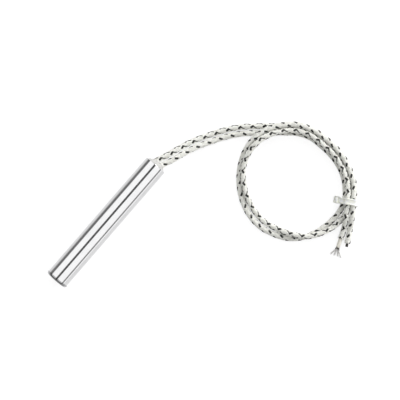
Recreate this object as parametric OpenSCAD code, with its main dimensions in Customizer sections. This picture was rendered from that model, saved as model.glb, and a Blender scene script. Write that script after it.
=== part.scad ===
// Cartridge heater with two braided leads, lying on a flat surface.
// The sheath lies along X with its lead end towards +X; Z is up and the floor is z = 0.

/* [Sheath] */
// Outside diameter of the sheath
sheath_d = 12; // [11:0.5:20]
// Length of the heater from the closed end to the rim
sheath_len = 75; // [60:1:200]
// Wall of the sheath tube
sheath_wall = 0.8; // [0.5:0.1:1]
// Chamfer of the rim at the lead end
rim_chamfer = 0.3; // [0.1:0.1:0.4]

/* [Closed end] */
// Thickness of the end disc where it shows outside the tube
disc_t = 1.6; // [1.2:0.1:3]
// Rounding of the welded edge of the disc
weld_r = 1.4; // [0.4:0.1:2]
// Depth of the disc's spigot inside the tube
spigot_len = 1.5; // [0.5:0.1:3]
// Thickness of the insulating wafer behind the disc
wafer_t = 1.2; // [0.5:0.1:3]

/* [Core and winding] */
// Thickness of the packed oxide between the winding and the sheath
fill_wall = 1; // [0.6:0.1:1.5]
// Room for the winding's tails at each end of the core stack
tail_room = 1; // [0.8:0.1:2]
// Diameter of the resistance wire
wire_d = 0.5; // [0.3:0.05:0.6]
// Pitch of the winding on the cores
wire_pitch = 1.7; // [1.5:0.1:3]
// Diameter of the terminal pins
pin_d = 1.5; // [1:0.1:1.7]
// Depth of the short pin in the core stack
short_pin_depth = 8; // [4:1:12]

/* [Lead end] */
// Thickness of the ceramic cap on the core stack
cap_t = 2.5; // [1.5:0.5:5]
// Length of the packed room around the splices
terminal_len = 8; // [8:0.5:14]
// Outside diameter of the crimped splice tubes
splice_d = 2.6; // [2.2:0.1:2.8]
// Length of the splice tubes
splice_len = 7; // [5:0.5:8]
// Length of the lead bushing
bushing_len = 5; // [3:0.5:10]
// Depth of the room for the sealing cement behind the rim
seal_t = 1.8; // [1.2:0.1:4]
// Step from the rim down to the cement's edge
seal_recess = 0.3; // [0.2:0.1:1]
// Height of the cement's dome over its edge
seal_dome = 2; // [1:0.1:3]

/* [Leads] */
// Outside diameter of each braided lead
lead_d = 2.8; // [2.4:0.1:3]
// Diameter of the stranded conductor inside a lead
conductor_d = 1.3; // [0.8:0.1:1.5]
// Ceramic left between the two lead bores of the bushing
bore_web = 0.5; // [0.3:0.1:0.8]
// Clearance around a lead in its bore
lead_fit = 0.1; // [0.05:0.05:0.2]
// Length of the two bare strand bundles that splay from the upper lead
strand_len = 5.5; // [3:0.5:8]
// Length of bare conductor that stands out of the lower lead
stub_len = 0.3; // [0.3:0.1:2]

/* [Cable tie] */
// Width of the strap
tie_w = 3.2; // [2:0.1:4]
// Thickness of the strap
tie_t = 1; // [0.8:0.1:1.4]
// Width of the head along the leads
tie_head_w = 3.6; // [3.5:0.1:6]
// Reach of the head from the leads it closes on
tie_head_reach = 3.9; // [3.5:0.1:6]
// Height of the head
tie_head_h = 3.8; // [3:0.1:6]
// Length of the trimmed strap end above the head
tie_stub = 0.8; // [0.4:0.1:3]

/* [Hidden] */
$fn = 96;

// Radial clearance of a seated piece, of a pin in its bore and of the wire on its cores
seat_fit = 0.03;
pin_fit = 0.05;
wire_fit = 0.03;
// Number of cores in the stack
core_count = 5;
// Sides of the wire, of the leads and of the strand bundles, and steps in a turn of wire
wire_sides = 6;
lead_sides = 8;
turn_steps = 16;
// Share of a turn in which a tail of the wire runs from its pin out to the cores
tail_turn = 0.35;
// Share of the tail room that the long pin reaches into
pin_reach = 0.7;
// Turn left over at the end of the winding, because the two pins lie on opposite sides
end_turn = 0.5;
// Gap left in a splice between the pin and the conductor
splice_gap = 0.6;
// Bare strands: straight length before they part, height over the floor at their tips, and for each
// bundle its side of the conductor and how far it turns to the left along its length
strand_straight = 0.6;
strand_clear = 0.1;
bundles = [[1, 0.5], [-1, -0.2]];
// Steps round a corner of the strap, and the share of its thickness that the head stands back
strap_fn = 32;
head_back = 0.6;

axis_h = sheath_d / 2;
lead_r = lead_d / 2;
seat_d = sheath_d - 2 * sheath_wall - 2 * seat_fit;
pair_gap = lead_d + 2 * lead_fit + bore_web;

// Places along the axis, measured from the closed end
wafer_at = disc_t + spigot_len;
fill_at = wafer_at + wafer_t;
core_at = fill_at + tail_room;
seal_at = sheath_len - seal_t;
bushing_at = seal_at - bushing_len;
terminal_at = bushing_at - terminal_len;
cap_at = terminal_at - cap_t;
core_end = cap_at - tail_room;
core_len = (core_end - core_at) / core_count;
splice_at = bushing_at - splice_len;
splice_mid = bushing_at - splice_len / 2;

// Winding: a spiral tail from the long pin, the turns on the cores, a spiral tail to the short pin
// The cores fill the room inside the turns, whose straight steps come nearest to them at mid-step.
wind_r = seat_d / 2 - fill_wall - wire_fit - wire_d / 2;
core_d = 2 * (wind_r * cos(180 / turn_steps) - wire_d / 2 - wire_fit);
pin_touch_r = pair_gap / 2 + pin_d / 2 + wire_fit + wire_d / 2;
wind_from = core_at - tail_room / 2;
wind_to = core_end + tail_room / 2;
turns = floor((wind_to - wind_from) / wire_pitch) + end_turn - 2 * tail_turn;
all_turns = turns + 2 * tail_turn;

// Where the leads come free, past the rim and the dome of the cement, and how far the pair is drawn to its
// right on the way there from the bushing
exit_gap = 0.4;
exit_side = 0.8;
rim_x = sheath_len / 2;
exit_x = rim_x + max(0, seal_dome - seal_recess) + exit_gap;

// Route of the pair of leads, measured from the rim along X. A row holds x, y, the height under the
// lower lead, the gap between the two leads and the roll of the pair about its own line (0 with lead a
// on the left, 90 with lead a on top, 180 with lead a on the right).
// As the pair sags to the floor the height is a share of the height of the bores.
sag_rows = [
    [6.5, -2.7, 0.97, 0.5, 0], [13, -4.9, 0.74, 0.5, 0], [20, -7.7, 0.42, 0.5, 0], [26.5, -11.2, 0.14, 0.5, 0]];
// From there the height is in lead diameters.
floor_rows = [
    // out to the loop and down its right side
    [33, -15.1, 0, 0.5, 0], [39, -19.6, 0, 0.5, 0], [44.5, -25.1, 0, 0.4, 0], [49.5, -30.6, 0, 0.3, 0],
    [54, -36.1, 0, 0.2, 0], [58, -41.1, 0, 0.2, 0], [61, -48.1, 0, 0.2, 0], [61.5, -55.6, 0, 0.2, 0],
    [61, -63.1, 0, 0.2, 0], [59, -70.1, 0, 0.2, 0], [55, -76.6, 0, 0.2, 0], [47.7, -82.6, 0, 0.2, 0],
    // round the bottom, where lead a crosses over lead b, and up the left side
    [41.5, -84.6, 0, 0.3, 0], [35, -84.4, 0, 0.3, 25], [28, -82.4, 0, 0.3, 60], [21.5, -78.6, 0, 0.4, 90],
    [16.5, -72.6, 0, 0.3, 135], [13.5, -65.6, 0, 0.3, 170], [12, -58.1, 0, 0.4, 180], [13, -50.6, 0, 0.4, 180],
    [16, -43.6, 0, 0.2, 155], [20.5, -37.6, 0, 0.2, 135], [26.5, -32.6, 0.1, 0.2, 122],
    // over the first pass
    [33.5, -29.6, 0.6, 0.2, 128], [41, -29.1, 1.12, 0.2, 145], [48, -31.1, 1.15, 0.2, 165],
    [54, -35.1, 1.1, 0.2, 178], [58.8, -40.3, 1.02, 0.2, 180], [61.8, -47.8, 1.02, 0.2, 180],
    [62.5, -55.6, 1.02, 0.2, 180], [62, -63.5, 1.02, 0.2, 180], [59.7, -70.9, 1, 0.2, 180],
    [55.6, -77.9, 0.97, 0.2, 180], [48.3, -84.1, 0.94, 0.2, 180],
    // off the bundle to the cut ends
    [42.5, -88.1, 1.15, 0.2, 180], [37, -91.6, 0.3, 0.2, 180], [30, -95.1, 0, 1.2, 180]];

// Rows that the tie holds, and how far the strap under the leads lifts them and the rows beside them
tie_fit = 0.6;
tie_row = 11;
tie_row_over = 33;
tie_lift = tie_t + tie_fit;
beside_tie = 0.35;

function tie_share(i) =
    let (away = min(abs(i - tie_row), abs(i - tie_row_over)))
    away == 0 ? 1 : away == 1 ? beside_tie : 0;
pair_rows = concat(
    [for (w = sag_rows) [rim_x + w[0], w[1], w[2] * (axis_h - lead_r), w[3], w[4]]],
    [for (i = [0 : len(floor_rows) - 1])
        let (w = floor_rows[i])
        [rim_x + w[0], w[1], w[2] * lead_d + tie_share(i) * tie_lift, w[3], w[4]]]);

function unit(v) = v / norm(v);
function flat_left(t) = unit([-t.y, t.x, 0]);
function run_of(path, i) = unit(path[min(i + 1, len(path) - 1)] - path[max(i - 1, 0)]);

// Middle of the pair at a row, and the place of lead a (side 1) or lead b (side -1) beside it
pair_flat = [for (w = pair_rows) [w.x, w.y, 0]];
function lead_point(i, side) =
    let (w = pair_rows[i],
         half = (lead_d + w[3]) / 2,
         mid = [w.x, w.y, w.z + lead_r + half * abs(sin(w[4]))])
    mid + side * half * (cos(w[4]) * flat_left(run_of(pair_flat, i)) + sin(w[4]) * [0, 0, 1]);
function lead_path(side) = concat(
    [for (at = [bushing_at, seal_at]) [at - sheath_len / 2, side * pair_gap / 2, axis_h]],
    [[exit_x, side * pair_gap / 2 - exit_side, axis_h]],
    [for (i = [0 : len(pair_rows) - 1]) lead_point(i, side)]);

// One ring of points round a place on a path: the hint gives the direction of its first side
function ring(at, run, hint, r, sides) =
    let (across = unit(hint - (hint * run) * run), up = cross(run, across))
    [for (k = [0 : sides - 1])
        let (a = 360 * (k + 0.5) / sides)
        at + r * (cos(a) * across + sin(a) * up)];

// Closed tube of a few sides along a path
module swept_tube(path, hints, r, sides) {
    rings = [for (i = [0 : len(path) - 1]) ring(path[i], run_of(path, i), hints[i], r, sides)];
    last = (len(path) - 1) * sides;
    walls = [for (i = [0 : len(path) - 2], k = [0 : sides - 1])
        let (a = i * sides + k, b = i * sides + (k + 1) % sides)
        each [[a, a + sides, b], [b, a + sides, b + sides]]];
    caps = [[for (k = [0 : sides - 1]) k], [for (k = [sides - 1 : -1 : 0]) last + k]];
    polyhedron([for (g = rings) each g], concat(walls, caps), convexity = 10);
}

module flat_tube(path, r, sides) {
    swept_tube(path, [for (i = [0 : len(path) - 1]) flat_left(run_of(path, i))], r, sides);
}

// Turns a shape drawn up Z so that it stands on the heater's axis at a distance from the closed end
module on_axis(at) {
    translate([at - sheath_len / 2, 0, axis_h]) rotate([0, 90, 0]) children();
}

// Round piece that fills the bore of the sheath
module filler(at, len) {
    on_axis(at) cylinder(d = seat_d, h = len);
}

// Two through holes, one for each pin or lead
module pair_bores(at, len, d) {
    for (side = [-1, 1])
        on_axis(at - len) translate([0, side * pair_gap / 2, 0]) cylinder(d = d, h = 3 * len);
}

// Rod on the line of one pin or lead
module pair_rod(from, to, side, d) {
    on_axis(from) translate([0, side * pair_gap / 2, 0]) cylinder(d = d, h = to - from);
}

// Drawn stainless tube, chamfered at the rim
module sheath_tube() {
    len = sheath_len - disc_t;
    r = sheath_d / 2;
    bore_r = r - sheath_wall;
    color("silver") on_axis(disc_t) rotate_extrude()
        polygon([[bore_r, 0], [r, 0], [r, len - rim_chamfer], [r - rim_chamfer, len],
                 [bore_r, len]]);
}

// Stainless disc with a spigot in the tube, its outer edge run round by the weld
module end_disc() {
    edge = min(weld_r, disc_t);
    r = sheath_d / 2;
    color("gainsboro") on_axis(0) rotate_extrude() {
        square([r - edge, disc_t]);
        translate([r - edge, edge]) intersection() {
            circle(edge);
            translate([0, -edge]) square(edge);
        }
        translate([0, edge]) square([r, disc_t - edge]);
        translate([0, disc_t]) square([seat_d / 2, spigot_len]);
    }
}

// Insulating wafer between the winding and the disc
module end_wafer() {
    color("ivory") filler(wafer_at, wafer_t);
}

// Pressed ceramic core with a bore for each pin
module core(number) {
    at = core_at + (number - 1) * core_len;
    color("linen") difference() {
        on_axis(at) cylinder(d = core_d, h = core_len);
        pair_bores(at, core_len, pin_d + 2 * pin_fit);
    }
}

// Resistance wire wound on the core stack, one tail on each pin
module resistance_winding() {
    steps = ceil(all_turns * turn_steps);
    function tail_share(turn) = min(1, turn / tail_turn, (all_turns - turn) / tail_turn);
    function wire_at(turn) =
        let (share = tail_share(turn),
             r = pin_touch_r + (wind_r - pin_touch_r) * (1 - cos(180 * share)) / 2,
             on_core = min(1, max(0, (turn - tail_turn) / turns)),
             a = 360 * turn)
        [wind_from + (wind_to - wind_from) * on_core - sheath_len / 2, r * cos(a), axis_h + r * sin(a)];
    path = [for (i = [0 : steps]) wire_at(all_turns * i / steps)];
    outward = [for (p = path) [0, p.y, p.z - axis_h]];
    color("dimgray") swept_tube(path, outward, wire_d / 2, wire_sides);
}

// Nickel terminal pins: the long one runs the whole stack, the short one enters the last core
module pin_long() {
    color("lightgray") pair_rod(core_at - tail_room * pin_reach, splice_mid - splice_gap / 2, 1, pin_d);
}

module pin_short() {
    color("lightgray") pair_rod(core_end - short_pin_depth, splice_mid - splice_gap / 2, -1, pin_d);
}

// Compacted magnesium oxide round the winding
module insulation_fill() {
    inner_d = seat_d - 2 * fill_wall;
    color("whitesmoke") difference() {
        filler(fill_at, cap_at - fill_at);
        on_axis(fill_at - tail_room) cylinder(d = inner_d, h = cap_at - fill_at + 2 * tail_room);
    }
}

// Ceramic cap that closes the stack and guides both pins
module core_cap() {
    color("linen") difference() {
        filler(cap_at, cap_t);
        pair_bores(cap_at, cap_t, pin_d + 2 * pin_fit);
    }
}

// Packed oxide that holds the splices apart
module terminal_fill() {
    color("whitesmoke") difference() {
        filler(terminal_at, terminal_len);
        pair_bores(terminal_at, terminal_len, splice_d + 2 * seat_fit);
    }
}

// Crimped tube that joins a pin to its lead
module splice(side) {
    bore = max(pin_d, conductor_d) + 2 * pin_fit;
    color("gray") difference() {
        pair_rod(splice_at, bushing_at, side, splice_d);
        pair_rod(splice_at - splice_len, bushing_at + splice_len, side, bore);
    }
}

// Ceramic bushing that leads the two leads out
module lead_bushing() {
    color("floralwhite") difference() {
        filler(bushing_at, bushing_len);
        pair_bores(bushing_at, bushing_len, lead_d + 2 * lead_fit);
    }
}

// Sealing cement in the rim, drawn up round the leads as a dome
module end_seal() {
    base_r = seat_d / 2;
    base_t = seal_t - seal_recess;
    dome_r = (pow(base_r, 2) + pow(seal_dome, 2)) / (2 * seal_dome);
    color("gainsboro") difference() {
        on_axis(seal_at) rotate_extrude() {
            square([base_r, base_t]);
            intersection() {
                translate([0, base_t]) square([base_r, seal_dome]);
                translate([0, base_t + seal_dome - dome_r]) circle(dome_r);
            }
        }
        for (side = [-1, 1]) {
            out = lead_path(side);
            flat_tube([for (i = [0 : 3]) out[i]], lead_r + lead_fit, lead_sides);
        }
    }
}

// Lead braided in glass fibre, plain outer form
module lead(side) {
    color("beige") flat_tube(lead_path(side), lead_r, lead_sides);
}

// Bare conductor in the splice, and what shows of it at the cut end of the lead
module bare_in_splice(side) {
    pair_rod(splice_mid + splice_gap / 2, bushing_at, side, conductor_d);
}

// The upper lead's strands part into two bundles that droop to the floor
module lead_a_conductor() {
    path = lead_path(1);
    end = path[len(path) - 1];
    run = run_of(path, len(path) - 1);
    left = flat_left(run);
    level = unit([run.x, run.y, 0]);
    bundle_r = conductor_d / 4;
    drop = (end + strand_straight * run).z - bundle_r - strand_clear;
    color("darkgray") {
        bare_in_splice(1);
        for (b = bundles) {
            start = end + b[0] * (bundle_r + seat_fit) * left;
            bend = start + strand_straight * run;
            half = bend + strand_len / 2 * (level + b[1] * left / 2) - [0, 0, drop / 2];
            tip = bend + strand_len * (level + b[1] * left) - [0, 0, drop];
            flat_tube([start, bend, half, tip], bundle_r, lead_sides);
        }
    }
}

module lead_b_conductor() {
    path = lead_path(-1);
    end = path[len(path) - 1];
    run = run_of(path, len(path) - 1);
    color("darkgray") {
        bare_in_splice(-1);
        flat_tube([end, end + stub_len / 2 * run, end + stub_len * run], conductor_d / 2, lead_sides);
    }
}

// Nylon tie: one strap round both passes of the pair, closed by a head on the inside of the loop
module cable_tie() {
    first = tie_row + len(sag_rows);
    over = tie_row_over + len(sag_rows);
    held = [lead_point(first, 1), lead_point(first, -1), lead_point(over, 1), lead_point(over, -1)];
    run = run_of(pair_flat, first);
    mid = (held[0] + held[1] + held[2] + held[3]) / 4;
    left = flat_left(run);
    spots = [for (p = held) [(p - mid) * left, p.z]];
    inside = min([for (s = spots) s.x]) - lead_r - tie_fit;
    head_low = spots[1].y - lead_r;
    module round_leads(extra) {
        hull() for (s = spots) translate(s) circle(r = lead_r + tie_fit + extra, $fn = strap_fn);
    }
    module across_leads(width) {
        multmatrix([[left.x, 0, run.x, mid.x], [left.y, 0, run.y, mid.y], [0, 1, 0, 0]])
            translate([0, 0, -width / 2]) linear_extrude(width) children();
    }
    color("whitesmoke") {
        across_leads(tie_w) difference() {
            round_leads(tie_t);
            round_leads(0);
        }
        across_leads(tie_head_w) difference() {
            translate([inside - tie_head_reach + tie_t, head_low])
                square([tie_head_reach, tie_head_h]);
            round_leads(head_back * tie_t);
        }
        across_leads(tie_w)
            translate([inside - tie_head_reach / 2, head_low + tie_head_h])
                square([tie_t, tie_stub]);
    }
}

sheath_tube();
end_disc();
end_wafer();
core(1);  // core_1
core(2);  // core_2
core(3);  // core_3
core(4);  // core_4
core(5);  // core_5
resistance_winding();
pin_long();
pin_short();
insulation_fill();
core_cap();
terminal_fill();
splice(1);  // splice_a
splice(-1);  // splice_b
lead_bushing();
end_seal();
lead(1);  // lead_a
lead(-1);  // lead_b
lead_a_conductor();
lead_b_conductor();
cable_tie();
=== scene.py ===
import math
import random

import bmesh
import bpy
import numpy as np
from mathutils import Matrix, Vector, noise


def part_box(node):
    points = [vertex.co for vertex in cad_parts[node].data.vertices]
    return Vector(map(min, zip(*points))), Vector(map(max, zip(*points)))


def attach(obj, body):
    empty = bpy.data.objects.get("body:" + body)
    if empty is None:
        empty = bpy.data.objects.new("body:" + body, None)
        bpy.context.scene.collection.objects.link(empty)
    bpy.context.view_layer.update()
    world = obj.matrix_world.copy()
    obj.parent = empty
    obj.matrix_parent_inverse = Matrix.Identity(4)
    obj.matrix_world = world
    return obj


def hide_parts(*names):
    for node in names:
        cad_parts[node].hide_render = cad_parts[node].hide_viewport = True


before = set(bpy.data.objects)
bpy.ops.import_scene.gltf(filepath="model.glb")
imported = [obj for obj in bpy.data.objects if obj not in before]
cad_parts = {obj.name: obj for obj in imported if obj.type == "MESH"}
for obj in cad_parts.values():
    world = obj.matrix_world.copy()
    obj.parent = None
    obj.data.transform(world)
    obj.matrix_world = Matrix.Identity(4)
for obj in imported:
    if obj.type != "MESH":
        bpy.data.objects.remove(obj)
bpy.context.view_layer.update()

# Sheath: a drawn stainless tube, ground true and polished so that it slides into a reamed hole.
# It is cut square at the lead end, with a small chamfer on the rim, and the grinding wheel
# leaves fine rings all along it.
sheath_low, sheath_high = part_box("sheath_tube")
axis_height = (sheath_low.z + sheath_high.z) / 2
sheath_radius = (sheath_high.z - sheath_low.z) / 2
seat_fit = 0.00003
bore_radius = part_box("lead_bushing")[1].y + seat_fit
rim_x = sheath_high.x
rim_chamfer = 0.0003
seam = 0.00004
turned_steps = 192
crease = math.radians(28)
wheel_grain = (14000, 90, 90)
rubbed_steel = (0.86, 0.86, 0.87)
bright_steel = (0.92, 0.92, 0.925)


class Flow:
    """One socket on its way through a shader: arithmetic on it adds Math nodes."""

    def __init__(self, socket):
        self.socket = socket
        self.tree = socket.id_data

    def node(self, kind, settings, sockets, out=0):
        """Add a node of a kind, with its settings and then the values or flows of its sockets."""
        made = self.tree.nodes.new("ShaderNode" + kind)
        for name, value in settings.items():
            if name == "stops":
                lay_stops(made.color_ramp, value)
            else:
                setattr(made, name, value)
        for name, value in sockets.items():
            feed(made.inputs[name], value)
        return Flow(made.outputs[out])

    def math(self, operation, *terms):
        return self.node("Math", {"operation": operation}, dict(enumerate(terms)))

    def __add__(self, other):
        return self.math("ADD", self, other)

    def __sub__(self, other):
        return self.math("SUBTRACT", self, other)

    def __rsub__(self, other):
        return self.math("SUBTRACT", other, self)

    def __mul__(self, other):
        return self.math("MULTIPLY", self, other)

    __radd__ = __add__
    __rmul__ = __mul__


def feed(socket, value):
    """Link a flow to a socket, or set the socket to a plain value."""
    if isinstance(value, Flow):
        value.tree.links.new(value.socket, socket)
    else:
        socket.default_value = value


def lay_stops(ramp, stops):
    """Give a colour ramp these (place, colour) stops."""
    while len(ramp.elements) < len(stops):
        ramp.elements.new(1)
    for element, (place, colour) in zip(ramp.elements, stops):
        element.position = place
        element.color = (*colour, 1)


def finish(name, constants):
    """A new material with its shader's constants set, its sockets, and the flow of places on the object."""
    material = bpy.data.materials.new(name)
    material.use_nodes = True
    shader = material.node_tree.nodes["Principled BSDF"]
    for socket, value in constants.items():
        feed(shader.inputs[socket], value)
    place = Flow(material.node_tree.nodes.new("ShaderNodeTexCoord").outputs["Object"])
    return material, shader.inputs, place


def grain(place, scale, detail=3):
    """Noise over the object, with a number of grains per metre, or one for each axis."""
    if isinstance(scale, tuple):
        place = place.node("Mapping", {}, {"Vector": place, "Scale": scale})
        scale = 1
    return place.node("TexNoise", {}, {"Vector": place, "Scale": scale, "Detail": detail}, "Fac")


def relief(height, strength, depth):
    """A bump of a given depth in metres."""
    return height.node("Bump", {}, {"Height": height, "Strength": strength, "Distance": depth}, "Normal")


def tint(share, *stops):
    """Colours laid over a share from 0 to 1."""
    return share.node("ValToRGB", {"stops": stops}, {"Fac": share}, "Color")


def turned(name, profile):
    """Turn a closed profile of (x, radius) points about the heater's axis."""
    shape = bmesh.new()
    rings = []
    for k in range(turned_steps):
        turn = math.tau * k / turned_steps
        across, up = math.sin(turn), math.cos(turn)
        rings.append([shape.verts.new((x, r * across, axis_height + r * up)) for x, r in profile])
    for one, other in zip(rings, rings[1:] + rings[:1]):
        for i in range(len(profile)):
            j = (i + 1) % len(profile)
            shape.faces.new((one[i], one[j], other[j], other[i]))
    bmesh.ops.remove_doubles(shape, verts=shape.verts, dist=1e-7)
    bmesh.ops.recalc_face_normals(shape, faces=shape.faces)
    return as_mesh(name, shape)


def as_mesh(name, shape):
    """Store a shape as a smooth mesh that keeps its sharp edges."""
    mesh = bpy.data.meshes.new(name)
    shape.to_mesh(mesh)
    shape.free()
    mesh.shade_smooth()
    mesh.set_sharp_from_angle(angle=crease)
    return mesh


def add_piece(mesh, materials, slot, *nodes):
    """Show a mesh as a piece that stands for these nodes of the frame."""
    piece = bpy.data.objects.new(mesh.name, mesh)
    bpy.context.scene.collection.objects.link(piece)
    for material in materials:
        mesh.materials.append(material)
    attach(piece, "root")
    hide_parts(*nodes)
    return piece


steel, steel_sockets, place = finish("polished_steel", {"Metallic": 1.0})
wheel_rings = grain(place, wheel_grain)
rub = grain(place, 240, 4)
feed(steel_sockets["Base Color"], tint(rub, (0.3, rubbed_steel), (0.7, bright_steel)))
feed(steel_sockets["Roughness"], 0.05 + 0.05 * wheel_rings + 0.05 * rub)
feed(steel_sockets["Normal"], relief(wheel_rings, 0.12, 0.00001))

sheath_profile = [
    (sheath_low.x, sheath_radius - seam), (sheath_low.x + seam, sheath_radius),
    (rim_x - rim_chamfer, sheath_radius), (rim_x, sheath_radius - rim_chamfer),
    (rim_x, bore_radius), (sheath_low.x, bore_radius)]
add_piece(turned("sheath", sheath_profile), [steel], "stainless", "sheath_tube")

# Closed end: a stainless disc whose spigot sits in the tube. It is welded all round without filler,
# so its edge has run to a smooth rounding, duller than the ground tube, with a painted dark reflection
# toward the rim.
disc_low, disc_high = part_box("end_disc")
weld_radius = 0.0014
weld_steps = 14
spigot_radius = bore_radius - seat_fit
dark_reflection_from = 0.0038
dark_reflection_to = 0.0048
face_steel = (0.86, 0.86, 0.87)
dim_reflection_steel = (0.78, 0.78, 0.79)
dark_reflection_steel = (0.60, 0.60, 0.61)
darkest_reflection_steel = (0.52, 0.52, 0.53)


def fade(value, low, high, first, last):
    """A soft change from the first level to the last one while a value goes from low to high."""
    return value.node("MapRange", {"interpolation_type": "SMOOTHSTEP"}, {
        "Value": value, "From Min": low, "From Max": high, "To Min": first, "To Max": last})


weld_steel, weld_sockets, place = finish("welded_steel", {"Metallic": 1.0})
ripple = grain(place, 900, 4)
across, height = (place.node("SeparateXYZ", {}, {"Vector": place}, axis) for axis in "YZ")
up = height - axis_height
# Painted reflection: the steel's colour turns a darker grey over the weld's rounding toward the rim, for the
# dark line that this edge reflects.
painted_dark_reflection = fade(across * across + up * up, dark_reflection_from ** 2, dark_reflection_to ** 2, 0, 1)
painted_reflection_colour = tint(0.8 * painted_dark_reflection + 0.4 * ripple, (0.1, face_steel), (0.3, dim_reflection_steel), (0.9, dark_reflection_steel),
                   (1.0, darkest_reflection_steel))
feed(weld_sockets["Base Color"], painted_reflection_colour)
feed(weld_sockets["Roughness"], 0.10 + 0.12 * ripple)
feed(weld_sockets["Normal"], relief(ripple, 0.15, 0.00003))

disc_profile = [(disc_low.x, 0)]
for k in range(weld_steps, -1, -1):
    turn = math.pi / 2 * k / weld_steps
    disc_profile.append((disc_low.x + weld_radius * (1 - math.sin(turn)),
                         sheath_radius - weld_radius * (1 - math.cos(turn))))
disc_profile += [
    (sheath_low.x - seam, sheath_radius), (sheath_low.x, sheath_radius - seam),
    (sheath_low.x, spigot_radius), (disc_high.x, spigot_radius), (disc_high.x, 0)]
add_piece(turned("closed_end", disc_profile), [weld_steel], "stainless", "end_disc")

# Inside of the heater: pressed ceramic cores carry the resistance wire, packed oxide fills the sheath
# round it, and nickel pins run through the cores to the crimped splices. All of it is sealed in.
ceramic, ceramic_sockets, place = finish("pressed_ceramic", {"Roughness": 0.75})
press_marks = grain(place, 2600, 4)
feed(ceramic_sockets["Base Color"], tint(press_marks, (0.3, (0.80, 0.77, 0.69)), (0.7, (0.90, 0.88, 0.82))))
feed(ceramic_sockets["Normal"], relief(press_marks, 0.3, 0.00003))

oxide, oxide_sockets, place = finish("packed_oxide", {"Roughness": 0.95})
powder = grain(place, 5200, 5)
feed(oxide_sockets["Base Color"], tint(powder, (0.3, (0.84, 0.84, 0.82)), (0.7, (0.94, 0.94, 0.92))))
feed(oxide_sockets["Normal"], relief(powder, 0.5, 0.00005))

resistance_wire, wire_sockets, place = finish("oxidised_wire", {"Metallic": 1.0})
scale_marks = grain(place, 1900, 3)
feed(wire_sockets["Base Color"], tint(scale_marks, (0.3, (0.22, 0.20, 0.19)), (0.7, (0.40, 0.37, 0.35))))
feed(wire_sockets["Roughness"], 0.38 + 0.2 * scale_marks)

nickel, nickel_sockets, place = finish("drawn_nickel", {"Metallic": 1.0})
draw_lines = grain(place, (300, 9000, 9000))
feed(nickel_sockets["Base Color"], tint(draw_lines, (0.3, (0.60, 0.58, 0.54)), (0.7, (0.74, 0.72, 0.67))))
feed(nickel_sockets["Roughness"], 0.26 + 0.18 * draw_lines)

inner_pieces = {
    ceramic: ["end_wafer", "core_1", "core_2", "core_3", "core_4", "core_5", "core_cap", "lead_bushing"],
    oxide: ["insulation_fill", "terminal_fill"],
    resistance_wire: ["resistance_winding"],
    nickel: ["pin_long", "pin_short", "splice_a", "splice_b"]}
for material, names in inner_pieces.items():
    for name in names:
        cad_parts[name].data.materials.clear()
        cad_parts[name].data.materials.append(material)

# Leads: stranded conductors lapped in glass fibre and braided over with sixteen glass yarns, two over and
# two under. Broad black yarns mark them, of one hand on lead a and of the other on lead b, and lead a has
# thin ones across them. They leave the bushing side by side, sag to the floor and lie in a loop.
lead_diameter = 0.0028
lead_radius = lead_diameter / 2
pair_half = 0.00175
seal_low, seal_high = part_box("end_seal")
exit_gap = 0.0004
exit_x = seal_high.x + exit_gap
exit_side = 0.0008
tie_lift = 0.0016
beside_tie = 0.35
tie_rows = (11, 33)
# A row holds x from the rim, y, a height, the gap between the leads and the roll of the pair in degrees.
# As the pair sags the height is a share of the height of the bores.
sag_rows = [
    (0.0065, -0.0027, 0.97, 0.0005, 0), (0.013, -0.0049, 0.74, 0.0005, 0), (0.02, -0.0077, 0.42, 0.0005, 0),
    (0.0265, -0.0112, 0.14, 0.0005, 0)]
# From there the height is in lead diameters.
floor_rows = [
    (0.033, -0.0151, 0, 0.0005, 0), (0.039, -0.0196, 0, 0.0005, 0), (0.0445, -0.0251, 0, 0.0004, 0),
    (0.0495, -0.0306, 0, 0.0003, 0), (0.054, -0.0361, 0, 0.0002, 0), (0.058, -0.0411, 0, 0.0002, 0),
    (0.061, -0.0481, 0, 0.0002, 0), (0.0615, -0.0556, 0, 0.0002, 0), (0.061, -0.0631, 0, 0.0002, 0),
    (0.059, -0.0701, 0, 0.0002, 0), (0.055, -0.0766, 0, 0.0002, 0), (0.0477, -0.0826, 0, 0.0002, 0),
    (0.0415, -0.0846, 0, 0.0003, 0), (0.035, -0.0844, 0, 0.0003, 25), (0.028, -0.0824, 0, 0.0003, 60),
    (0.0215, -0.0786, 0, 0.0004, 90), (0.0165, -0.0726, 0, 0.0003, 135), (0.0135, -0.0656, 0, 0.0003, 170),
    (0.012, -0.0581, 0, 0.0004, 180), (0.013, -0.0506, 0, 0.0004, 180), (0.016, -0.0436, 0, 0.0002, 155),
    (0.0205, -0.0376, 0, 0.0002, 135), (0.0265, -0.0326, 0.1, 0.0002, 122),
    (0.0335, -0.0296, 0.6, 0.0002, 128), (0.041, -0.0291, 1.12, 0.0002, 145),
    (0.048, -0.0311, 1.15, 0.0002, 165), (0.054, -0.0351, 1.1, 0.0002, 178),
    (0.0588, -0.0403, 1.02, 0.0002, 180), (0.0618, -0.0478, 1.02, 0.0002, 180),
    (0.0625, -0.0556, 1.02, 0.0002, 180), (0.062, -0.0635, 1.02, 0.0002, 180),
    (0.0597, -0.0709, 1, 0.0002, 180), (0.0556, -0.0779, 0.97, 0.0002, 180),
    (0.0483, -0.0841, 0.94, 0.0002, 180), (0.0425, -0.0881, 1.15, 0.0002, 180),
    (0.037, -0.0916, 0.3, 0.0002, 180), (0.03, -0.0951, 0, 0.0012, 180)]


def unit(vectors):
    """The same directions with a length of one."""
    return vectors / np.linalg.norm(vectors, axis=-1, keepdims=True)


def tie_share(row):
    """How much of the strap's lift a row of the route takes."""
    away = min(abs(row - held) for held in tie_rows)
    return (1, beside_tie, 0)[min(away, 2)]


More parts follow.
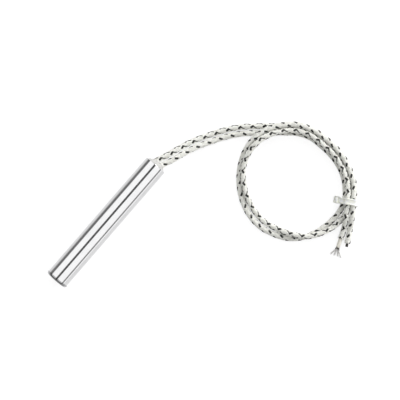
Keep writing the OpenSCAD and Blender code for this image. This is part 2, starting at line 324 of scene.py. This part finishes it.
lifts = [row[2] * (axis_height - lead_radius) for row in sag_rows]
lifts += [row[2] * lead_diameter + tie_share(i) * tie_lift for i, row in enumerate(floor_rows)]
pair_rows = sag_rows + floor_rows
pair_flat = np.array([(rim_x + row[0], row[1], 0) for row in pair_rows])
pair_run = np.vstack([pair_flat[1:], pair_flat[-1:]]) - np.vstack([pair_flat[:1], pair_flat[:-1]])
pair_left = unit(np.cross((0, 0, 1), pair_run))


def lead_route(side):
    """The listed points of one lead, on the left of the pair at the rim (side 1) or on its right (-1)."""
    bore = side * pair_half
    points = [(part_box("lead_bushing")[0].x, bore, axis_height), (seal_low.x, bore, axis_height),
              (exit_x, bore - exit_side, axis_height)]
    for flat, left, lift, (_, _, _, gap, roll) in zip(pair_flat, pair_left, lifts, pair_rows):
        half = (lead_diameter + gap) / 2
        turn = math.radians(roll)
        middle = flat + (0, 0, lift + lead_radius + half * abs(math.sin(turn)))
        points.append(middle + side * half * (math.cos(turn) * left + math.sin(turn) * np.array((0, 0, 1))))
    return np.array(points)


steps_per_span = 24


def smooth_line(points, step):
    """A smooth line through given points, cut into even steps of about the given length.

    Each span is a cubic, and the slope where two spans meet is weighted by the lengths of both.
    """
    chord = np.linalg.norm(np.diff(points, axis=0), axis=1)[:, None]
    slope = np.diff(points, axis=0) / chord
    inner = (slope[:-1] * chord[1:] + slope[1:] * chord[:-1]) / (chord[:-1] + chord[1:])
    run = np.vstack([slope[:1], inner, slope[-1:]])
    s = np.linspace(0, 1, steps_per_span + 1)[1:, None, None]
    spans = points[:-1] * (1 - 3 * s ** 2 + 2 * s ** 3) + points[1:] * (3 * s ** 2 - 2 * s ** 3)
    spans = spans + chord * (run[:-1] * (s - 2 * s ** 2 + s ** 3) + run[1:] * (s ** 3 - s ** 2))
    fine = np.vstack([points[:1], spans.transpose(1, 0, 2).reshape(-1, 3)])
    along = np.concatenate([[0], np.cumsum(np.linalg.norm(np.diff(fine, axis=0), axis=1))])
    at = np.linspace(0, along[-1], round(along[-1] / step) + 1)
    return np.stack([np.interp(at, along, fine[:, k]) for k in range(3)], axis=1)


class Strands:
    """Collects closed tubes of any section into one mesh, with a material, a shade and places along each."""

    def __init__(self):
        self.points, self.faces, self.finishes = [], [], []
        self.along, self.across, self.shade = [], [], []

    def add(self, rings, finish_index, shade, along, across):
        """Rings hold (ring, corner, xyz), along a value for each ring, and across one for each corner."""
        count, sides, _ = rings.shape
        # What would sink into the floor is pressed flat against it.
        rings[:, :, 2] = np.maximum(rings[:, :, 2], 0)
        first = sum(len(p) for p in self.points)
        number = first + np.arange(count * sides).reshape(count, sides)
        after = np.roll(number, -1, axis=1)
        walls = np.stack([number[:-1], after[:-1], after[1:], number[1:]], axis=-1).reshape(-1, 4).tolist()
        ends = [number[0, ::-1].tolist(), number[-1].tolist()]
        self.points.append(rings.reshape(-1, 3))
        self.faces += walls + ends
        self.finishes += [finish_index] * (len(walls) + len(ends))
        self.along.append(np.repeat(along, sides))
        self.across.append(np.tile(across, count))
        self.shade.append(np.full(count * sides, shade))

    def mesh(self, name):
        mesh = bpy.data.meshes.new(name)
        mesh.from_pydata(np.vstack(self.points).tolist(), [], self.faces)
        mesh.polygons.foreach_set("material_index", self.finishes)
        marks = {"yarn_along": self.along, "yarn_across": self.across, "yarn_shade": self.shade}
        for label, values in marks.items():
            mesh.attributes.new(label, "FLOAT", "POINT").data.foreach_set("value", np.concatenate(values))
        mesh.shade_smooth()
        return mesh


def rails(line):
    """The run, the level left and the upward direction at each point of a line."""
    run = unit(np.gradient(line, axis=0))
    left = unit(np.cross((0, 0, 1), run))
    return run, left, np.cross(run, left)


def round_tube(strands, line, radius, sides, finish_index=0, shade=0.5):
    """Add a round tube along a line; its radius is one number, or one for each point."""
    _, left, up = rails(line)
    turn = math.tau * np.arange(sides) / sides
    out = np.cos(turn)[None, :, None] * left[:, None] + np.sin(turn)[None, :, None] * up[:, None]
    reach = np.broadcast_to(radius, len(line))[:, None, None]
    along = np.linspace(0, 1, len(line))
    strands.add(line[:, None] + reach * out, finish_index, shade, along, np.cos(turn))


yarn_pitch = 0.01214
yarns_each_way = 8
steps_per_turn = 4 * yarns_each_way
steps_per_weave = 8
yarn_step = yarn_pitch / steps_per_turn
yarn_width = 0.00088
yarn_thick = 0.00028
yarn_rise = 0.00012
black_rise = 0.00004
float_hold = 1.4
lapping_radius = 0.00098
lapping_sides = 14
yarn_flat = 0.26
yarn_crown = 0.44
yarn_section = np.array([(-0.5, 0), (-yarn_flat, yarn_crown), (yarn_flat, yarn_crown),
                         (0.5, 0), (yarn_flat, -yarn_crown), (-yarn_flat, -yarn_crown)])
# The width of each black yarn, by its hand and number.
broad_tracer = 0.00105
thin_tracer = 0.0004
tracers_a = {(-1, 0): broad_tracer, (-1, 4): broad_tracer, (1, 3): thin_tracer, (1, 7): thin_tracer}
tracers_b = {(1, 0): broad_tracer, (1, 4): broad_tracer}
draw = random.Random(12)


def braid(strands, line, tracers, first_step, twist, flare):
    """Add the crossing yarns of a lead.

    First_step sets where the weave begins, twist turns it about the line, and flare opens it at its end.
    """
    _, left, up = rails(line)
    step = np.arange(len(line)) + first_step
    middle = lead_radius - yarn_rise - yarn_crown * yarn_thick
    for hand in (1, -1):
        for k in range(yarns_each_way):
            turn = math.tau * (k / yarns_each_way + hand * step / steps_per_turn) + twist
            over = -hand * np.clip(float_hold * np.cos(math.tau * (step - 1) / steps_per_weave), -1, 1)
            out = np.cos(turn)[:, None] * left + np.sin(turn)[:, None] * up
            spread = flare * draw.uniform(0.4, 1.3)
            centre = line + (middle + over * yarn_rise + spread)[:, None] * out
            across = unit(np.cross(out, np.gradient(centre, axis=0)))
            black = (hand, k) in tracers
            width = tracers.get((hand, k), yarn_width * draw.uniform(0.94, 1.04))
            section = yarn_section * (width, yarn_thick) + (0, black * black_rise)
            wide, high = section[None, :, :1], section[None, :, 1:]
            rings = centre[:, None] + wide * across[:, None] + high * out[:, None]
            strands.add(rings, int(black), draw.uniform(0, 1), step * yarn_step, yarn_section[:, 0])


def yarn_finish(name, roughness, dark, pale):
    """Glass yarn: many fine filaments side by side, in two near colours."""
    material, sockets, place = finish(name, {"Roughness": roughness})
    along = place.node("Attribute", {"attribute_name": "yarn_along"}, {}, "Fac")
    across = place.node("Attribute", {"attribute_name": "yarn_across"}, {}, "Fac")
    shade = place.node("Attribute", {"attribute_name": "yarn_shade"}, {}, "Fac")
    spot = place.node("CombineXYZ", {}, {"X": along * 900, "Y": across * 9, "Z": shade * 40})
    filaments = grain(spot, 1)
    blotches = grain(place, 160, 2)
    share = 0.5 * filaments + 0.25 * shade + 0.35 * blotches
    feed(sockets["Base Color"], tint(share, (0.25, dark), (0.75, pale)))
    feed(sockets["Normal"], relief(filaments, 0.5, 0.00006))
    return material


white_yarn = yarn_finish("white_glass_yarn", 0.5, (0.76, 0.755, 0.69), (0.96, 0.96, 0.915))
black_yarn = yarn_finish("black_glass_yarn", 0.55, (0.008, 0.008, 0.007), (0.03, 0.03, 0.026))
lapping = yarn_finish("glass_lapping", 0.7, (0.78, 0.75, 0.64), (0.93, 0.91, 0.83))
glass = [white_yarn, black_yarn, lapping]

lead_a_line = smooth_line(lead_route(1), yarn_step)
lead_b_line = smooth_line(lead_route(-1), yarn_step)
for line in (lead_a_line, lead_b_line):
    line[:, 2] = np.maximum(line[:, 2], lead_radius)

sway_waves = 2.3


def sway(line, start, swing):
    """A slow turn of the braid along a lead, in radians, about a starting turn in degrees."""
    along = np.linspace(0, 1, len(line))
    return math.radians(start) + math.radians(swing) * np.sin(math.tau * sway_waves * along)


# Lead a's braid is pushed back and flares open at the cut, so that its lapping shows and tapers off.
cut_back = 0.003
flare_length = 0.0022
flare_rise = 0.00045
tail_reach = (0.0006, 0.0012, 0.0017)
tail_radii = (0.00095, 0.00086, 0.0007)
a_first_step = -3
a_braided = lead_a_line[:len(lead_a_line) - round(cut_back / yarn_step)]
a_along = np.arange(len(a_braided)) * yarn_step
a_flare = flare_rise * np.clip((a_along - a_along[-1] + flare_length) / flare_length, 0, 1) ** 2
a_sway = sway(a_braided, 12, 14)
a_strands = Strands()
braid(a_strands, a_braided, tracers_a, a_first_step, a_sway, a_flare)
lapping_tail = lead_a_line[-1] + np.outer(tail_reach, lead_a_line[-1] - lead_a_line[-2]) / yarn_step
lapping_taper = np.concatenate([np.full(len(lead_a_line), lapping_radius), tail_radii])
a_lapped = np.vstack([lead_a_line, lapping_tail])
round_tube(a_strands, a_lapped, lapping_taper, lapping_sides, glass.index(lapping))
lead_a = add_piece(a_strands.mesh("braided_lead_a"), glass, "glass_braid", "lead_a")

# Lead b was nipped off whole, a little short of its conductor's end.
nipped_back = 0.0014
b_first_step = -6
b_braided = lead_b_line[:len(lead_b_line) - round(nipped_back / yarn_step)]
b_flare = np.zeros(len(b_braided))
b_sway = sway(lead_b_line, 58, -12)[:len(b_braided)]
b_strands = Strands()
braid(b_strands, b_braided, tracers_b, b_first_step, b_sway, b_flare)
round_tube(b_strands, b_braided, lapping_radius, lapping_sides, glass.index(lapping))
lead_b = add_piece(b_strands.mesh("braided_lead_b"), glass, "glass_braid", "lead_b")

# Seal: sealing cement pressed into the rim by hand, round the two leads. It stands up as a low dome,
# drawn up a little where it wets them, and dries with a fine grain.
seal_radius = seal_high.y
seal_recess = 0.0003
seal_edge_x = rim_x - seal_recess
seal_rise = seal_high.x - seal_edge_x
dome_radius = (seal_radius ** 2 + seal_rise ** 2) / (2 * seal_rise)
lead_drift = 0.0006
wetting_width = 0.0007
wetting_rise = 0.00035
lump_rise = 0.00006
lumps_per_metre = 1300
seal_turn_steps = 120
seal_steps = 40
seal_bore_radius = 0.00124
seal_bore_sides = 48
seal_bore_reach = 0.012
damp_cement = (0.47, 0.465, 0.45)
dry_cement = (0.61, 0.605, 0.59)

cement, cement_sockets, place = finish("sealing_cement", {"Roughness": 0.92})
sand = grain(place, 3800, 6)
feed(cement_sockets["Base Color"], tint(sand, (0.3, damp_cement), (0.7, dry_cement)))
feed(cement_sockets["Normal"], relief(sand, 0.6, 0.00008))


def seal_face(across, up):
    """How far along the axis the cement stands at a place on its face."""
    out = min(math.hypot(across, up), seal_radius)
    stand = seal_edge_x + math.sqrt(dome_radius ** 2 - out ** 2) - (dome_radius - seal_rise)
    from_lead = math.hypot(abs(across + lead_drift) - pair_half, up) - lead_radius
    if from_lead < wetting_width:
        stand += wetting_rise * (1 - max(from_lead, 0) / wetting_width) ** 2
    return stand + lump_rise * noise.noise((across * lumps_per_metre, up * lumps_per_metre, 0.5))


def cut_out(mesh, cutter):
    """Cut one closed mesh out of another, and give back what is left under the first one's name."""
    name = mesh.name
    whole, tool = (bpy.data.objects.new(shape.name, shape) for shape in (mesh, cutter))
    for item in (whole, tool):
        bpy.context.scene.collection.objects.link(item)
    cut = whole.modifiers.new("bores", "BOOLEAN")
    cut.operation = "DIFFERENCE"
    cut.solver = "EXACT"
    cut.object = tool
    left_over = bpy.data.meshes.new_from_object(whole.evaluated_get(bpy.context.evaluated_depsgraph_get()))
    for item in (whole, tool):
        bpy.data.objects.remove(item)
    for item in (mesh, cutter):
        bpy.data.meshes.remove(item)
    left_over.name = name
    left_over.shade_smooth()
    left_over.set_sharp_from_angle(angle=crease)
    return left_over


seal_shape = bmesh.new()
seal_rings = []
for j in range(1, seal_steps + 1):
    ring_radius = seal_radius * j / seal_steps
    ring = []
    for k in range(seal_turn_steps):
        turn = math.tau * k / seal_turn_steps
        across, up = ring_radius * math.cos(turn), ring_radius * math.sin(turn)
        ring.append(seal_shape.verts.new((seal_face(across, up), across, axis_height + up)))
    seal_rings.append(ring)
back_ring = [seal_shape.verts.new((seal_low.x, v.co.y, v.co.z)) for v in seal_rings[-1]]
for one, other in zip(seal_rings, seal_rings[1:] + [back_ring]):
    for k in range(seal_turn_steps):
        after = (k + 1) % seal_turn_steps
        seal_shape.faces.new((one[k], one[after], other[after], other[k]))
seal_shape.faces.new(seal_rings[0])
seal_shape.faces.new(back_ring)
bmesh.ops.recalc_face_normals(seal_shape, faces=seal_shape.faces)
seal_bores = Strands()
for line in (lead_a_line, lead_b_line):
    round_tube(seal_bores, line[:round(seal_bore_reach / yarn_step)], seal_bore_radius, seal_bore_sides)
seal_mesh = cut_out(as_mesh("seal", seal_shape), seal_bores.mesh("seal_bores"))
seal = add_piece(seal_mesh, [cement], "cement", "end_seal")

# Conductors: nickel strands, crimped in the splices inside the heater and bare where the leads were cut.
# Lead a's are splayed into two bundles that fork, with painted shade dark at the braid and bright at their
# tips.
# Lead b's were nipped off square, are coloured nearly black as painted shade, and just stand out.
strand_radius = 0.00012
strand_sides = 8
strand_step = 0.0004
strand_root = 0.002
packing_core = 0.3
packing_pitch = 1.16
packing_turn = 2.4
crimped_count = 14
cut_count = 19
stub_length = 0.0003
splay_length = 0.0055
splay_straight = 0.0006
bundle_gap = 0.00036
# A bundle holds its side of the lead, its turn to the left, its number of strands and half its fork.
splays = ((1, 0.36, 8, 0.00068), (-1, -0.19, 8, 0.00085))


def packed(count):
    """Places of a number of strands packed in a round bundle, in strand radii."""
    spots = []
    for i in range(count):
        out = math.sqrt(i + packing_core) * packing_pitch
        spots.append((out * math.cos(packing_turn * i), out * math.sin(packing_turn * i)))
    return spots


def crimped_strands(strands, node, side):
    """Strands that run from inside a splice to the start of a lead."""
    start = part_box(node)[0].x
    run = np.array((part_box("lead_bushing")[0].x - start, 0, 0))
    for across, up in packed(crimped_count):
        foot = np.array((start, side * pair_half + strand_radius * across, axis_height + strand_radius * up))
        round_tube(strands, np.linspace(foot, foot + run, 3), strand_radius, strand_sides)


def splayed_strands(strands, line):
    """Strands that leave the end of a lead in two bundles, fork and droop to the floor."""
    run, left, _ = (v[-1] for v in rails(line))
    level = unit(run * (1, 1, 0))
    for side, turn, count, fork in splays:
        start = line[-1] + side * bundle_gap * left
        drop = start[2] - 3 * strand_radius
        for number, (across, up) in enumerate(packed(count)):
            branch = (fork if number % 2 else -fork) * left
            spread = strand_radius * across * left
            raised = strand_radius * up * np.array((0, 0, 1))
            wander = draw.uniform(0, 0.8)
            reach = splay_length * draw.uniform(0.86, 1.0)
            points = [start - strand_root * run + spread + raised, start + spread + raised,
                      start + splay_straight * run + spread + raised]
            for share in (0.5, 1.0):
                at = start + splay_straight * run + share * reach * (level + turn * share * left)
                at = at + share ** 2 * branch + (1 + share * wander) * spread
                at = at + (1 + 0.4 * share * wander) * raised
                at[2] = max(at[2] - drop * share, strand_radius)
                points.append(at)
            round_tube(strands, smooth_line(np.array(points), strand_step), strand_radius, strand_sides)


def cut_strands(strands, line):
    """Strands cut square just past the end of a lead."""
    run, left, up = (v[-1] for v in rails(line))
    for across, high in packed(cut_count):
        foot = line[-1] + strand_radius * (across * left + high * up)
        tip = foot + stub_length * draw.uniform(0.7, 1.0) * run
        round_tube(strands, np.linspace(foot - strand_root * run, tip, 5), strand_radius, strand_sides)


plated_nickel, plated_sockets, place = finish("plated_strands", {"Metallic": 0.7, "Roughness": 0.4})
# Painted shade: the strands are coloured dark where they leave the braid and lapping, and pale toward their
# tips.
shaded_root_to_tip = place.node("Attribute", {"attribute_name": "yarn_along"}, {}, "Fac") + 0.12 * grain(place, 1500)
feed(plated_sockets["Base Color"], tint(shaded_root_to_tip, (0.56, (0.10, 0.095, 0.085)), (0.70, (0.68, 0.67, 0.65))))

# Painted shade: lead b's cut strands are coloured nearly black all over, for the shade in the cut end of the
# lead.
dark_nickel, dark_sockets, place = finish("shade_dark_nickel", {"Metallic": 0.8})
shade_dark_blotches = grain(place, 2400, 3)
feed(dark_sockets["Base Color"], tint(shade_dark_blotches, (0.3, (0.05, 0.048, 0.045)), (0.7, (0.12, 0.115, 0.105))))
feed(dark_sockets["Roughness"], 0.45 + 0.2 * shade_dark_blotches)

a_wires = Strands()
crimped_strands(a_wires, "lead_a_conductor", 1)
splayed_strands(a_wires, lead_a_line)
wires_a = add_piece(a_wires.mesh("splayed_strands"), [plated_nickel], "nickel", "lead_a_conductor")
b_wires = Strands()
crimped_strands(b_wires, "lead_b_conductor", -1)
cut_strands(b_wires, lead_b_line)
wires_b = add_piece(b_wires.mesh("cut_strands"), [dark_nickel], "nickel", "lead_b_conductor")

# Cable tie: moulded in natural nylon, one strap drawn round both passes of the pair. Its tail runs up
# through the pawl in the head, which lies on the inside of the loop, and is trimmed just above it.
tie_width = 0.0032
tie_thick = 0.001
tie_clear = 0.00015
strap_steps = 120
round_steps = 64
head_size = (0.0039, 0.0036, 0.0038)
head_round = 0.0005
pawl_pocket = 0.0006
tail_rise = 0.0008
tail_inset = 0.0004
tail_round = 0.00015
greyer_nylon = (0.90, 0.91, 0.85)
clearer_nylon = (0.96, 0.97, 0.93)

nylon, nylon_sockets, place = finish("natural_nylon", {
    "Roughness": 0.38, "IOR": 1.53, "Subsurface Weight": 0.4, "Subsurface Radius": (0.0012, 0.0012, 0.001)})
flow_marks = grain(place, 420, 2)
feed(nylon_sockets["Base Color"], tint(flow_marks, (0.3, greyer_nylon), (0.7, clearer_nylon)))
feed(nylon_sockets["Normal"], relief(flow_marks, 0.2, 0.00005))

# The strap's loop lies in a plane across the first pass, round the four places where the leads go through.
tie_run = unit(pair_run[len(sag_rows) + tie_rows[0]])
tie_left = unit(np.cross((0, 0, 1), tie_run))
routes = [lead_route(side)[-len(floor_rows):] for side in (1, -1)]
held = [route[row] for row in tie_rows for route in routes]
tie_middle = sum(held) / len(held) * (1, 1, 0)
held_spots = [((p - tie_middle) @ tie_left, p[2]) for p in held]
under_strap = tie_lift - tie_thick
room = [under_strap, under_strap, tie_clear, tie_clear]


def hull(points):
    """The convex outline of flat points, walked anticlockwise."""
    points = sorted(points)
    halves = []
    for row in (points, points[::-1]):
        half = []
        for p in row:
            while len(half) > 1 and (half[-1][0] - half[-2][0]) * (p[1] - half[-2][1]) <= (
                    half[-1][1] - half[-2][1]) * (p[0] - half[-2][0]):
                half.pop()
            half.append(p)
        halves += half[:-1]
    return halves


strap_spots = []
for (across, up), clear in zip(held_spots, room):
    reach = lead_radius + clear + tie_thick / 2
    for k in range(round_steps):
        turn = math.tau * k / round_steps
        strap_spots.append((across + reach * math.cos(turn), up + reach * math.sin(turn)))
outline = np.array(hull(strap_spots))
outline = np.vstack([outline, outline[:1]])
along = np.concatenate([[0], np.cumsum(np.linalg.norm(np.diff(outline, axis=0), axis=1))])
at = np.linspace(0, along[-1], strap_steps, endpoint=False)
loop = np.stack([np.interp(at, along, outline[:, k]) for k in range(2)], axis=1)
loop_run = unit(np.roll(loop, -1, axis=0) - np.roll(loop, 1, axis=0))
loop_out = np.stack([loop_run[:, 1], -loop_run[:, 0]], axis=1)
strap_section = [(-0.5, -0.30), (-0.46, -0.44), (-0.34, -0.5), (0.34, -0.5), (0.46, -0.44), (0.5, -0.30),
                 (0.5, 0.28), (0.45, 0.44), (0.36, 0.5), (0.28, 0.38), (-0.28, 0.38), (-0.36, 0.5),
                 (-0.45, 0.44), (-0.5, 0.28)]


def tie_point(across, up, beside):
    """A place on the tie, from its own plane across the leads and how far it lies beside that plane."""
    return tie_middle + across * tie_left + beside * tie_run + np.array((0, 0, up))


tie_shape = bmesh.new()
strap_rings = []
for spot, out in zip(loop, loop_out):
    ring = []
    for wide, thick in strap_section:
        across, up = spot + out * thick * tie_thick
        ring.append(tie_shape.verts.new(tie_point(across, max(up, 0), wide * tie_width)))
    strap_rings.append(ring)
for one, other in zip(strap_rings, strap_rings[1:] + strap_rings[:1]):
    for k in range(len(strap_section)):
        after = (k + 1) % len(strap_section)
        tie_shape.faces.new((one[k], one[after], other[after], other[k]))


def tie_block(low, high, rounding, pocket):
    """Add a rounded block to the tie between two corners (across, up, beside), with a pocket in its top."""
    block = bmesh.new()
    bmesh.ops.create_cube(block, size=1)
    for v in block.verts:
        share = np.array(v.co) + 0.5
        v.co = low + share * (np.array(high) - low)
    top = max(block.faces, key=lambda face: face.calc_center_median().y)
    if pocket:
        bmesh.ops.inset_region(block, faces=[top], thickness=pocket)
        bmesh.ops.translate(block, verts=top.verts, vec=(0, -2 * pocket, 0))
    bmesh.ops.bevel(block, geom=block.edges, offset=rounding, segments=4, profile=0.5, affect="EDGES")
    for v in block.verts:
        v.co = tie_point(*v.co)
    bmesh.ops.recalc_face_normals(block, faces=block.faces)
    made = bpy.data.meshes.new("block")
    block.to_mesh(made)
    block.free()
    tie_shape.from_mesh(made)
    bpy.data.meshes.remove(made)


inside = min(across for across, _ in held_spots) - lead_radius - tie_thick
head_foot = held_spots[1][1] - lead_radius
head_reach, head_width, head_height = head_size
head_top = head_foot + head_height
tie_block((inside - head_reach + tie_thick, head_foot, -head_width / 2),
          (inside + tie_thick / 2, head_top, head_width / 2), head_round, pawl_pocket)
tail_at = inside - head_reach / 2 + tie_thick / 2
tail_half = tie_width / 2 - tail_inset
tie_block((tail_at - tie_thick / 2, head_foot + head_height / 2, -tail_half),
          (tail_at + tie_thick / 2, head_top + tail_rise, tail_half), tail_round, 0)
bmesh.ops.recalc_face_normals(tie_shape, faces=tie_shape.faces)
tie = add_piece(as_mesh("nylon_tie", tie_shape), [nylon], "nylon", "cable_tie")

# Studio: a pale table top under a light tent, seen straight down through a long lens. The tent has dark
# gaps, which the polished tube shows as lines along it, low lamps beyond the lead end, and a dimmer part
# beyond the closed end.
scene = bpy.context.scene
scene.view_settings.view_transform = "Standard"
table_half = 3.0
table_corners = [(-table_half, -table_half, 0), (table_half, -table_half, 0),
                 (table_half, table_half, 0), (-table_half, table_half, 0)]
table_mesh = bpy.data.meshes.new("table_top")
table_mesh.from_pydata(table_corners, [], [(0, 1, 2, 3)])
table = bpy.data.objects.new("table_top", table_mesh)
scene.collection.objects.link(table)

# To the camera the table is white with the heater's shadow on it. In the tube's mirror it is white close
# by, and darkens on the side away from the loop and beyond the closed end.
white_glow = 0.82
shadow_grey = (0.3, 0.3, 0.3, 1)
table_grey = (0.78, 0.78, 0.78, 1)
table_finish, _, place = finish("pale_table", {})
camera_seen, mirror_seen, glass_seen = (
    place.node("LightPath", {}, {}, "Is " + kind + " Ray") for kind in ("Camera", "Glossy", "Transmission"))
seen = camera_seen.math("MAXIMUM", camera_seen + mirror_seen, glass_seen)
along_tube, off_tube = (place.node("SeparateXYZ", {}, {"Vector": place}, axis) for axis in "XY")
close_by = fade(off_tube.math("ABSOLUTE", off_tube), 0.008, 0.018, 1, 0.62)
loop_side = fade(off_tube, 0.015, 0.1, 1, 0)
before_end = fade(along_tube, -0.06, -0.041, 0.1, 1)
mirrored = close_by * loop_side * before_end
table_white = white_glow * (1 - mirror_seen * (1 - mirrored))
glow = place.node("Emission", {}, {"Color": table_white, "Strength": 1})
shadow_table = place.node("BsdfDiffuse", {}, {"Color": shadow_grey})
white_table = place.node("AddShader", {}, {0: shadow_table, 1: glow})
plain_table = place.node("BsdfDiffuse", {}, {"Color": table_grey})
table_surface = place.node("MixShader", {}, {0: seen, 1: plain_table, 2: white_table})
feed(table_finish.node_tree.nodes["Material Output"].inputs["Surface"], table_surface)
table_mesh.materials.append(table_finish)

# A gap of the tent holds its middle, half width and soft edge in degrees about the tube, and its depth.
tent_gaps = ((-88, 16, 10, 0.85), (-4.2, 7, 5, 0.92), (67.5, 4.5, 5, 0.8), (92, 8, 10, 0.1))
tent_level = 1.04
low_lamps = 3.6
dim_end = 0.3
world = bpy.data.worlds.new("light_tent")
world.use_nodes = True
scene.world = world
tent = Flow(world.node_tree.nodes.new("ShaderNodeTexCoord").outputs["Generated"])
ahead, left, above = (tent.node("SeparateXYZ", {}, {"Vector": tent}, axis) for axis in "XYZ")
about_tube = tent.math("ARCTAN2", 0 - left, above) * math.degrees(1)
level = tent_level
for middle, half, soft, depth in tent_gaps:
    away = about_tube.math("ABSOLUTE", about_tube - middle)
    level = level * (1 - depth * fade(away, half, half + soft, 1, 0))
level = level * (1 + fade(ahead, 0.3, 0.6, 0, 1) * fade(above, 0.15, 0.8, low_lamps, 0))
level = level * fade(0 - ahead, 0.36, 0.5, 1, dim_end)
camera_ray = tent.node("LightPath", {}, {}, "Is Camera Ray")
feed(world.node_tree.nodes["Background"].inputs["Color"], level * (1 - camera_ray) + camera_ray)

frame_width = 0.1957
frame_middle = (0.03848, -0.02758)
frame_turn = math.radians(-49.15)
focal_length = 300
lens = bpy.data.cameras.new("long_lens")
lens.lens = focal_length
camera = bpy.data.objects.new("long_lens", lens)
scene.collection.objects.link(camera)
camera.location = (*frame_middle, axis_height + frame_width * focal_length / lens.sensor_width)
camera.rotation_euler = (0, 0, frame_turn)
scene.camera = camera
